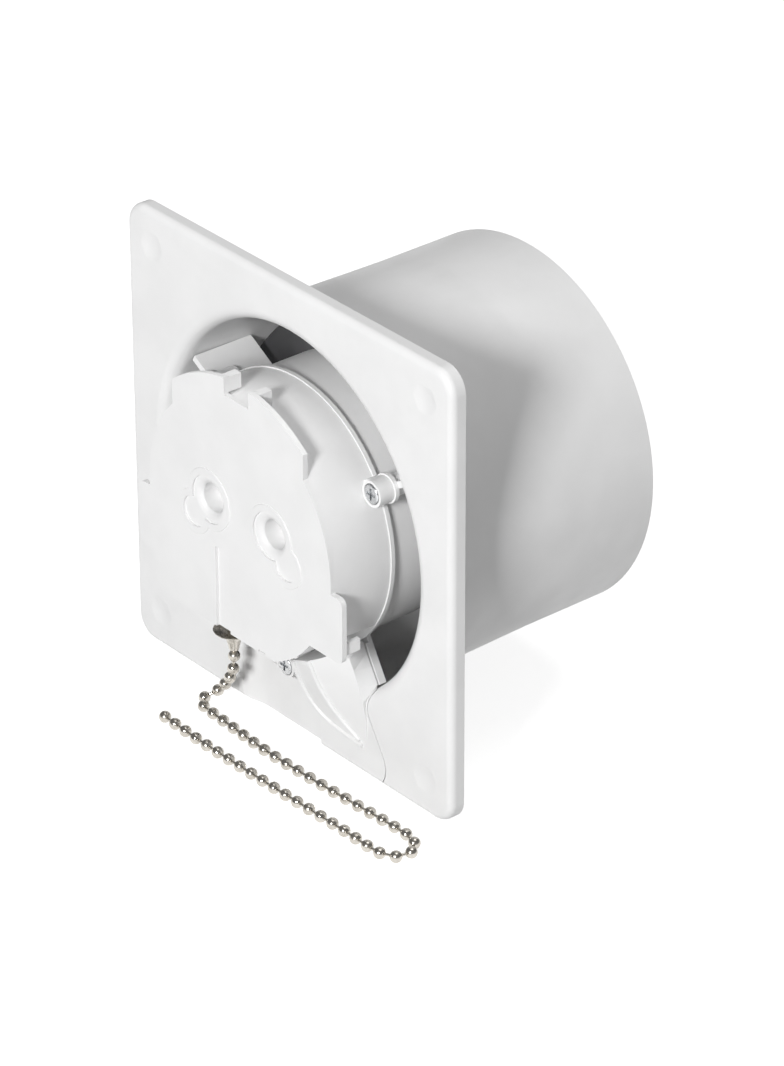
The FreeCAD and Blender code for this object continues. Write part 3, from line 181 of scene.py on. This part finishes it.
def settled_dust() -> bpy.types.NodeTree:
    """Thin uneven film that settles on surfaces that face up."""

    def fill(nodes: NodeTree, entry: bpy.types.Node) -> dict[str, Socket]:
        """Break up an upward mask with a cloudy noise."""
        place = nodes.add("ShaderNodeTexCoord").outputs["Object"]
        normal = nodes.add("ShaderNodeNewGeometry").outputs["Normal"]
        upward = nodes.add("ShaderNodeSeparateXYZ", Vector=normal).outputs["Z"]
        cloud = nodes.add("ShaderNodeTexNoise", Vector=place, Scale=entry.outputs["Cloud Scale"],
                          Detail=6.0, Roughness=0.6).outputs["Fac"]
        mask = nodes.math("MULTIPLY", nodes.ramp(upward, 0.2, 1.0), nodes.ramp(cloud, 0.35, 0.75))
        return {"Mask": nodes.math("MULTIPLY", mask, entry.outputs["Amount"])}

    return shader_group("Settled Dust", {"Cloud Scale": 120.0, "Amount": 0.3}, ("Mask",), fill)


def handled_metal() -> bpy.types.NodeTree:
    """Smears and tiny pits of plated metal."""

    def fill(nodes: NodeTree, entry: bpy.types.Node) -> dict[str, Socket]:
        """Mix cloudy smears with small pits."""
        place = nodes.add("ShaderNodeTexCoord").outputs["Object"]
        smear = nodes.add("ShaderNodeTexNoise", Vector=place, Scale=entry.outputs["Smear Scale"],
                          Detail=5.0, Roughness=0.65).outputs["Fac"]
        pits = nodes.add("ShaderNodeTexVoronoi", Vector=place,
                         Scale=entry.outputs["Pit Scale"]).outputs["Distance"]
        return {"Smear": nodes.ramp(smear, 0.3, 0.72), "Pits": nodes.ramp(pits, 0.0, 0.3)}

    return shader_group("Handled Metal", {"Smear Scale": 420.0, "Pit Scale": 2400.0}, ("Smear", "Pits"), fill)


def place_group(nodes: NodeTree, group: bpy.types.NodeTree, **values: float) -> bpy.types.Node:
    """Place a node group in a material with its own values.

    Args:
        nodes: Tree of the material.
        group: Group to place.
        **values: Input values by name, with underscores for spaces.

    Returns:
        The group node.
    """
    node = nodes.tree.nodes.new("ShaderNodeGroup")
    node.node_tree = group
    for name, number in values.items():
        node.inputs[name.replace("_", " ")].default_value = number
    return node


Colour = tuple[float, float, float]


def opaque(colour: Colour) -> tuple[float, float, float, float]:
    """Give a colour a full alpha."""
    return (*colour, 1.0)


def new_material(name: str) -> tuple[bpy.types.Material, NodeTree, bpy.types.Node]:
    """Start a material with one Principled shader.

    Args:
        name: Name of the material.

    Returns:
        The material, its tree and its Principled node.
    """
    material = bpy.data.materials.new(name)
    material.use_nodes = True
    nodes = NodeTree(material.node_tree)
    return material, nodes, material.node_tree.nodes["Principled BSDF"]


@dataclass(frozen=True)
class PlasticFinish:
    """Moulded plastic with a fine grain, slow flow marks and a little dust."""

    name: str
    colour: Colour
    flow_colour: Colour
    dust_colour: Colour = (0.55, 0.53, 0.49)
    roughness: float = 0.36
    roughness_spread: float = 0.08
    pebble_scale: float = 2600.0
    flow_scale: float = 55.0
    bump: float = 0.06
    bump_depth: float = 0.2 * MM
    ior: float = 1.5
    dust: float = 0.1

    def material(self) -> bpy.types.Material:
        """Build the plastic's material."""
        material, nodes, shader = new_material(self.name)
        grain = place_group(nodes, moulded_grain(), Pebble_Scale=self.pebble_scale,
                            Flow_Scale=self.flow_scale)
        dust = place_group(nodes, settled_dust(), Amount=self.dust)
        tone = nodes.blend(grain.outputs["Flow"], opaque(self.colour), opaque(self.flow_colour))
        nodes.feed(shader.inputs["Base Color"],
                   nodes.blend(dust.outputs["Mask"], tone, opaque(self.dust_colour)))
        rough = nodes.ramp(grain.outputs["Flow"], 0.0, 1.0, self.roughness,
                           self.roughness + self.roughness_spread)
        nodes.feed(shader.inputs["Roughness"], nodes.math("ADD", rough, dust.outputs["Mask"]))
        bump = nodes.add("ShaderNodeBump", Strength=self.bump, Distance=self.bump_depth,
                         Height=grain.outputs["Height"])
        nodes.feed(shader.inputs["Normal"], bump.outputs["Normal"])
        shader.inputs["IOR"].default_value = self.ior
        return material


@dataclass(frozen=True)
class MetalFinish:
    """Plated or bare metal with smears and tiny pits."""

    name: str
    colour: Colour
    smear_colour: Colour
    roughness: float = 0.2
    smear_roughness: float = 0.38
    smear_scale: float = 420.0
    pit_scale: float = 2400.0
    bump: float = 0.08

    def material(self) -> bpy.types.Material:
        """Build the metal's material."""
        material, nodes, shader = new_material(self.name)
        worn = place_group(nodes, handled_metal(), Smear_Scale=self.smear_scale, Pit_Scale=self.pit_scale)
        nodes.feed(shader.inputs["Base Color"], nodes.blend(
            worn.outputs["Smear"], opaque(self.colour), opaque(self.smear_colour)))
        nodes.feed(shader.inputs["Roughness"], nodes.ramp(
            worn.outputs["Smear"], 0.0, 1.0, self.roughness, self.smear_roughness))
        bump = nodes.add("ShaderNodeBump", Strength=self.bump, Distance=0.1 * MM, Height=worn.outputs["Pits"])
        nodes.feed(shader.inputs["Normal"], bump.outputs["Normal"])
        shader.inputs["Metallic"].default_value = 1.0
        return material


@dataclass(frozen=True)
class StripedFinish:
    """Metal made of fine parallel layers, such as laminations or turns of wire."""

    name: str
    colour: Colour
    seam_colour: Colour
    axis: str
    spacing: float
    roughness: float = 0.4

    def material(self) -> bpy.types.Material:
        """Build the layered material."""
        material, nodes, shader = new_material(self.name)
        place = nodes.add("ShaderNodeTexCoord").outputs["Object"]
        layers = nodes.add("ShaderNodeTexWave", {"bands_direction": self.axis}, Vector=place,
                           Scale=math.pi / (10.0 * self.spacing), Distortion=0.3).outputs["Fac"]
        worn = place_group(nodes, handled_metal())
        seam = nodes.ramp(layers, 0.0, 0.35, 1.0, 0.0)
        nodes.feed(shader.inputs["Base Color"], nodes.blend(
            seam, opaque(self.colour), opaque(self.seam_colour)))
        nodes.feed(shader.inputs["Roughness"], nodes.ramp(
            worn.outputs["Smear"], 0.0, 1.0, self.roughness, self.roughness + 0.15))
        bump = nodes.add("ShaderNodeBump", Strength=0.3, Distance=0.1 * MM, Height=layers)
        nodes.feed(shader.inputs["Normal"], bump.outputs["Normal"])
        shader.inputs["Metallic"].default_value = 1.0
        return material


WHITE_PLASTIC = PlasticFinish("White Moulded Plastic", (0.86, 0.86, 0.86), (0.83, 0.83, 0.83),
                              bump=0.05, dust=0.04)
NYLON = PlasticFinish("Natural Nylon", (0.72, 0.71, 0.66), (0.66, 0.65, 0.6), roughness=0.42)
ACETAL = PlasticFinish("Natural Acetal", (0.74, 0.73, 0.68), (0.68, 0.67, 0.62), roughness=0.34)
BLACK_PLASTIC = PlasticFinish("Black Moulded Plastic", (0.03, 0.03, 0.032), (0.045, 0.045, 0.05),
                              roughness=0.45)
INSULATION = PlasticFinish("Brown Insulation", (0.16, 0.06, 0.035), (0.2, 0.08, 0.05), roughness=0.5)
NICKEL = MetalFinish("Nickel Plate", (0.62, 0.59, 0.54), (0.5, 0.47, 0.42),
                     roughness=0.14, smear_roughness=0.3)
ZINC = MetalFinish("Zinc Plate", (0.72, 0.73, 0.74), (0.6, 0.61, 0.62), roughness=0.2, smear_roughness=0.34)
SPRING_STEEL = MetalFinish("Spring Steel", (0.5, 0.51, 0.53), (0.4, 0.41, 0.43))
GROUND_STEEL = MetalFinish("Ground Steel", (0.58, 0.59, 0.6), (0.5, 0.51, 0.52), roughness=0.16)
CAST_ZINC = MetalFinish("Cast Zinc", (0.5, 0.5, 0.5), (0.4, 0.4, 0.4),
                        roughness=0.45, smear_roughness=0.6, bump=0.3)
BRASS = MetalFinish("Bright Brass", (0.74, 0.53, 0.2), (0.6, 0.42, 0.16))
BRONZE = MetalFinish("Sintered Bronze", (0.5, 0.33, 0.17), (0.38, 0.25, 0.13),
                     roughness=0.42, smear_roughness=0.6, bump=0.4)
ALUMINIUM = MetalFinish("Cast Aluminium", (0.6, 0.6, 0.6), (0.5, 0.5, 0.5),
                        roughness=0.35, smear_roughness=0.5)
LAMINATIONS = StripedFinish("Steel Laminations", (0.32, 0.33, 0.36), (0.1, 0.1, 0.11), "Y", 0.5 * MM)
COPPER_TURNS = StripedFinish("Enamelled Copper Turns", (0.6, 0.26, 0.11), (0.2, 0.08, 0.04),
                             "X", 0.35 * MM, 0.28)

Finish = PlasticFinish | MetalFinish | StripedFinish

NODE_FINISHES: dict[str, Finish] = {
    "housing": WHITE_PLASTIC,
    "cable_cover": WHITE_PLASTIC,
    "motor_spider": WHITE_PLASTIC,
    "terminal_box": WHITE_PLASTIC,
    "front_cover": WHITE_PLASTIC,
    "impeller": BLACK_PLASTIC,
    "box_screws": ZINC,
    "motor_bolts": ZINC,
    "terminal_block": NYLON,
    "terminal_screws": BRASS,
    "switch_contacts": BRASS,
    "switch_case": BLACK_PLASTIC,
    "switch_lid": BLACK_PLASTIC,
    "switch_plunger": ACETAL,
    "switch_cam": ACETAL,
    "coil_bobbin": ACETAL,
    "switch_spring": SPRING_STEEL,
    "impeller_clip": SPRING_STEEL,
    "motor_shaft": GROUND_STEEL,
    "front_bracket": CAST_ZINC,
    "rear_bracket": CAST_ZINC,
    "front_bush": BRONZE,
    "rear_bush": BRONZE,
    "rotor": ALUMINIUM,
    "stator_core": LAMINATIONS,
    "coil_winding": COPPER_TURNS,
    "switch_lead": INSULATION,
    "motor_leads": INSULATION,
    "chain_bell": NICKEL,
    "bead_chain": NICKEL,
}


class Workshop:
    """Makes materials once and turns meshes into pieces of the scene."""

    def __init__(self) -> None:
        """Start with no materials made."""
        self.materials: dict[str, bpy.types.Material] = {}

    def finish(self, finish: Finish) -> bpy.types.Material:
        """Make a finish's material, or reuse it."""
        if finish.name not in self.materials:
            self.materials[finish.name] = finish.material()
        return self.materials[finish.name]

    def piece(self, name: str, mesh: bpy.types.Mesh, finish: Finish) -> bpy.types.Object:
        """Put a mesh in the scene with one finish.

        Args:
            name: Name of the piece.
            mesh: Its mesh, in metres in the shared frame.
            finish: Its finish.

        Returns:
            The new object.
        """
        mesh.materials.clear()
        mesh.materials.append(self.finish(finish))
        piece = bpy.data.objects.new(name, mesh)
        bpy.context.scene.collection.objects.link(piece)
        return piece

    def dress_node(self, node: str) -> None:
        """Give a CAD node the material of its finish."""
        material = self.finish(NODE_FINISHES[node])
        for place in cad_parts[node].material_slots:
            place.link = "OBJECT"
            place.material = material


def smooth_faces(mesh: bpy.types.Mesh, angle: float) -> None:
    """Shade a mesh smooth, except at edges sharper than an angle in degrees."""
    mesh.shade_smooth()
    mesh.set_sharp_from_angle(angle=math.radians(angle))


@dataclass
class SoftenedMoulding:
    """A white moulding whose sharp edges get the small rounds of the real tool."""

    node: str
    body: Body
    edge_round: float
    slot: Slot = Slot.PLASTIC
    sharp_angle: float = 28.0
    weld: float = 0.002 * MM
    flat_angle: float = 0.4
    round_steps: int = 3

    def build(self, workshop: Workshop) -> bpy.types.Object:
        """Copy the node's shape, join its faces and round its edges.

        Args:
            workshop: Maker of materials and pieces.

        Returns:
            The piece that stands for the node.
        """
        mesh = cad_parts[self.node].data.copy()
        shape = bmesh.new()
        shape.from_mesh(mesh)
        bmesh.ops.remove_doubles(shape, verts=shape.verts, dist=self.weld)
        bmesh.ops.dissolve_limit(shape, angle_limit=math.radians(self.flat_angle),
                                 verts=shape.verts, edges=shape.edges)
        shape.to_mesh(mesh)
        shape.free()
        piece = workshop.piece(f"{self.node}_moulding", mesh, NODE_FINISHES[self.node])
        smooth_faces(mesh, self.sharp_angle)
        if self.edge_round:
            bevel = piece.modifiers.new("Edge Round", "BEVEL")
            bevel.width = self.edge_round
            bevel.segments = self.round_steps
            bevel.limit_method = "ANGLE"
            bevel.angle_limit = math.radians(self.sharp_angle)
            bevel.use_clamp_overlap = True
        flat = piece.modifiers.new("Flat Faces", "WEIGHTED_NORMAL")
        flat.keep_sharp = True
        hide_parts(self.node)
        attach(piece, self.body.value)
        return piece


@dataclass
class ChainBell:
    """Nickel trumpet below the terminal box that the chain hangs from."""

    centre: tuple[float, float] = (-15.6 * MM, -15.0 * MM)
    profile: tuple[tuple[float, float], ...] = (
        (0.0, -45.6), (1.9, -45.6), (1.9, -47.9), (2.6, -47.5), (3.6, -46.7), (4.8, -46.15),
        (6.0, -45.8), (6.4, -45.62),
        (6.6, -45.75), (6.5, -46.0), (5.4, -46.3), (4.2, -46.95), (3.2, -47.9), (2.6, -49.0), (2.2, -50.4),
        (1.85, -51.8), (1.6, -52.9), (1.35, -53.5), (1.1, -53.6), (0.0, -53.6))
    segments: int = 72
    sharp_angle: float = 50.0

    def build(self, workshop: Workshop) -> bpy.types.Object:
        """Turn the bell's profile about its upright axis.

        Args:
            workshop: Maker of materials and pieces.

        Returns:
            The bell.
        """
        shape = bmesh.new()
        rings = []
        for radius, height in self.profile:
            if radius == 0.0:
                rings.append([shape.verts.new((*self.centre, height * MM))])
                continue
            rings.append([
                shape.verts.new((self.centre[0] + radius * MM * math.cos(turn),
                                 self.centre[1] + radius * MM * math.sin(turn), height * MM))
                for turn in (2 * math.pi * i / self.segments for i in range(self.segments))])
        for upper, lower in zip(rings, rings[1:]):
            for i in range(self.segments):
                corners = [upper[i % len(upper)], upper[(i + 1) % len(upper)],
                           lower[(i + 1) % len(lower)], lower[i % len(lower)]]
                shape.faces.new(list(dict.fromkeys(corners)))
        bmesh.ops.recalc_face_normals(shape, faces=shape.faces)
        mesh = bpy.data.meshes.new("chain_bell_turned")
        shape.to_mesh(mesh)
        shape.free()
        smooth_faces(mesh, self.sharp_angle)
        bell = workshop.piece("bell", mesh, NICKEL)
        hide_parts("chain_bell")
        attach(bell, Body.PULL.value)
        return bell


@dataclass
class SwitchSpring:
    """Spring of the pull switch, pressed together between the plunger's head and the case."""

    node: str = "switch_spring"

    def build(self, workshop: Workshop) -> bpy.types.Object:
        """Copy the node's shape.

        Args:
            workshop: Maker of materials and pieces.

        Returns:
            The spring.
        """
        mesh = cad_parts[self.node].data.copy()
        spring = workshop.piece(f"{self.node}_coil", mesh, NODE_FINISHES[self.node])
        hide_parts(self.node)
        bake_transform(spring)
        return spring


@dataclass
class BeadChain:
    """Bead chain that hangs from the bell, meets the surface below and lies on it in a long loop."""

    bead_diameter: float = 4.0 * MM
    pitch: float = 5.51 * MM
    link_radius: float = 0.5 * MM
    link_sides: int = 8
    link_bite: float = 0.9
    bead_segments: int = 18
    bead_rings: int = 10
    sharp_angle: float = 60.0
    spline_order: int = 3
    spline_steps: int = 24
    route: tuple[tuple[float, float, float], ...] = (
        (-15.6, -15.0, -53.6), (-15.6, -15.0, -57.8), (-17.4, -14.4, -62.8), (-20.7, -13.6, -67.6),
        (-24.6, -13.0, -72.0), (-28.4, -13.6, -75.9), (-29.4, -17.6, -76.5), (-25.4, -20.7, -76.5),
        (-18.5, -20.9, -76.5), (-8.0, -21.4, -76.5), (8.0, -22.3, -76.5), (30.0, -21.7, -76.5),
        (52.0, -20.4, -76.5), (67.0, -19.5, -76.5), (77.2, -19.3, -76.5), (82.6, -22.6, -76.5),
        (83.3, -28.4, -76.5), (79.2, -32.2, -76.5), (72.5, -32.8, -76.5), (62.0, -32.6, -76.5),
        (44.0, -33.2, -76.5), (22.0, -33.9, -76.5), (0.0, -34.2, -76.5), (-15.0, -34.3, -76.5),
        (-28.6, -33.7, -76.5))

    def line(self) -> list[Vector]:
        """Read points along the route's smooth spline."""
        curve = bpy.data.curves.new("chain_line", "CURVE")
        curve.dimensions = "3D"
        spline = curve.splines.new("NURBS")
        spline.points.add(len(self.route) - 1)
        for point, place in zip(spline.points, self.route):
            point.co = (*(value * MM for value in place), 1.0)
        spline.order_u = self.spline_order
        spline.use_endpoint_u = True
        spline.resolution_u = self.spline_steps
        holder = bpy.data.objects.new("chain_line", curve)
        bpy.context.scene.collection.objects.link(holder)
        mesh = bpy.data.meshes.new_from_object(holder)
        points = [vertex.co.copy() for vertex in mesh.vertices]
        bpy.data.objects.remove(holder)
        bpy.data.curves.remove(curve)
        bpy.data.meshes.remove(mesh)
        return points

    @staticmethod
    def spaced(points: Sequence[Vector], offset: float, pitch: float) -> list[tuple[Vector, Vector]]:
        """Walk along points and give places at an even pitch.

        Args:
            points: Points of the line.
            offset: Distance of the first place from the start.
            pitch: Distance between places.

        Returns:
            Each place with the line's direction there.
        """
        places = []
        travelled = 0.0
        target = offset
        for start, end in zip(points, points[1:]):
            run = (end - start).length
            while run and travelled + run >= target:
                places.append((start.lerp(end, (target - travelled) / run), (end - start).normalized()))
                target += pitch
            travelled += run
        return places

    def build(self, workshop: Workshop) -> bpy.types.Object:
        """Thread the beads and their links along the line.

        Args:
            workshop: Maker of materials and pieces.

        Returns:
            The chain.
        """
        points = self.line()
        beads = self.spaced(points, self.bead_diameter / 2, self.pitch)
        shape = bmesh.new()
        for place, along in beads:
            turn = Matrix.Translation(place) @ along.to_track_quat("Z", "Y").to_matrix().to_4x4()
            bmesh.ops.create_uvsphere(shape, u_segments=self.bead_segments, v_segments=self.bead_rings,
                                      radius=self.bead_diameter / 2, matrix=turn)
        for (start, _), (end, _) in zip(beads, beads[1:]):
            run = end - start
            turn = Matrix.Translation(start.lerp(end, 0.5)) @ run.to_track_quat("Z", "Y").to_matrix().to_4x4()
            bmesh.ops.create_cone(shape, cap_ends=True, segments=self.link_sides, radius1=self.link_radius,
                                  radius2=self.link_radius, matrix=turn,
                                  depth=run.length - self.bead_diameter * self.link_bite)
        mesh = bpy.data.meshes.new("bead_chain_threaded")
        shape.to_mesh(mesh)
        shape.free()
        smooth_faces(mesh, self.sharp_angle)
        chain = workshop.piece("chain", mesh, NICKEL)
        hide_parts("bead_chain")
        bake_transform(chain)
        return chain


@dataclass
class Studio:
    """Pale floor, soft lamps, white surroundings and the photograph's camera."""

    azimuth: float = 50.22
    elevation: float = 29.59
    roll: float = -0.16
    distance: float = 1.6485
    target: tuple[float, float, float] = (44.3 * MM, 0.0, 9.4 * MM)
    focal_pixels: float = 5430.0
    image_height: float = 1066.0
    sensor: float = 36.0
    near_clip: float = 0.01
    floor_side: float = 6.0
    floor_tone: float = 0.5
    floor_roughness: float = 0.9
    floor_gloss: float = 0.1
    floor_glow: float = 0.85
    surroundings: float = 0.2
    lamps: tuple[tuple[str, tuple[float, float, float], float, float], ...] = (
        ("Key", (0.97, -1.85, 0.97), 0.45, 43.0),
        ("Top", (0.1, 0.4, 2.0), 1.2, 13.0),
    )

    def axes(self) -> tuple[Vector, Vector, Vector]:
        """Give the camera's right, up and backward directions."""
        turn, lift, roll = (math.radians(value) for value in (self.azimuth, self.elevation, self.roll))
        back = Vector((math.sin(turn) * math.cos(lift), -math.cos(turn) * math.cos(lift), math.sin(lift)))
        right = Vector((math.cos(turn), math.sin(turn), 0.0))
        up = back.cross(right)
        across = right * math.cos(roll) + up * math.sin(roll)
        upright = up * math.cos(roll) - right * math.sin(roll)
        return (across, upright, back)

    def camera(self) -> None:
        """Set the camera at the photograph's viewing angle."""
        right, up, back = self.axes()
        data = bpy.data.cameras.new("Camera")
        data.sensor_width = self.sensor
        data.lens = self.focal_pixels * self.sensor / self.image_height
        data.clip_start = self.near_clip
        camera = bpy.data.objects.new("Camera", data)
        place = Matrix((right, up, back)).transposed().to_4x4()
        place.translation = Vector(self.target) + back * self.distance
        camera.matrix_world = place
        bpy.context.scene.collection.objects.link(camera)
        bpy.context.scene.camera = camera

    def floor(self) -> None:
        """Lay a pale floor that is white to the camera where no shadow falls."""
        shape = bmesh.new()
        bmesh.ops.create_grid(shape, x_segments=1, y_segments=1, size=self.floor_side / 2,
                              matrix=Matrix.Translation((0.0, 0.0, FLOOR_HEIGHT)))
        mesh = bpy.data.meshes.new("floor")
        shape.to_mesh(mesh)
        shape.free()
        material, nodes, shader = new_material("Pale Floor")
        shader.inputs["Base Color"].default_value = opaque((self.floor_tone,) * 3)
        shader.inputs["Roughness"].default_value = self.floor_roughness
        shader.inputs["Specular IOR Level"].default_value = self.floor_gloss
        ray = nodes.add("ShaderNodeLightPath")
        seen = nodes.math("MAXIMUM", ray.outputs["Is Camera Ray"], nodes.math(
            "MAXIMUM", ray.outputs["Is Glossy Ray"], ray.outputs["Is Transmission Ray"]))
        nodes.feed(shader.inputs["Emission Color"], opaque((1.0, 1.0, 1.0)))
        nodes.feed(shader.inputs["Emission Strength"], nodes.math("MULTIPLY", seen, self.floor_glow))
        mesh.materials.append(material)
        floor = bpy.data.objects.new("floor", mesh)
        bpy.context.scene.collection.objects.link(floor)

    def light(self) -> None:
        """Hang soft square lamps round the object and make the surroundings pale."""
        for name, place, side, power in self.lamps:
            data = bpy.data.lights.new(name, "AREA")
            data.shape = "SQUARE"
            data.size = side
            data.energy = power
            lamp = bpy.data.objects.new(name, data)
            lamp.location = place
            lamp.rotation_euler = (-Vector(place)).to_track_quat("-Z", "Y").to_euler()
            bpy.context.scene.collection.objects.link(lamp)
        world = bpy.data.worlds.new("Pale Surroundings")
        world.use_nodes = True
        nodes = NodeTree(world.node_tree)
        ray = nodes.add("ShaderNodeLightPath")
        strength = nodes.math("MAXIMUM", ray.outputs["Is Camera Ray"], self.surroundings)
        nodes.feed(world.node_tree.nodes["Background"].inputs["Strength"], strength)
        world.node_tree.nodes["Background"].inputs["Color"].default_value = opaque((1.0, 1.0, 1.0))
        bpy.context.scene.world = world
        bpy.context.scene.view_settings.view_transform = "Standard"

    def build(self) -> None:
        """Set up the camera, floor and light."""
        self.camera()
        self.floor()
        self.light()


MOULDINGS = (
    SoftenedMoulding("housing", Body.FIXED, 0.0, sharp_angle=12.0),
    SoftenedMoulding("cable_cover", Body.FIXED, 0.35 * MM),
    SoftenedMoulding("motor_spider", Body.FIXED, 0.25 * MM),
    SoftenedMoulding("terminal_box", Body.FIXED, 0.3 * MM),
    SoftenedMoulding("front_cover", Body.FIXED, 0.35 * MM),
    SoftenedMoulding("impeller", Body.TURNING, 0.2 * MM, Slot.DARK_PLASTIC),
)


def main() -> None:
    """Build the fan's pieces in order and log each moulding."""
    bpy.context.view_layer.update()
    workshop = Workshop()
    Studio().build()
    BeadChain().build(workshop)
    ChainBell().build(workshop)
    SwitchSpring().build(workshop)
    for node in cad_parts:
        workshop.dress_node(node)
    for moulding in MOULDINGS:
        piece = moulding.build(workshop)
        log.info("moulding: %s, %d faces", piece.name, len(piece.data.polygons))


if __name__ == "__main__":
    main()
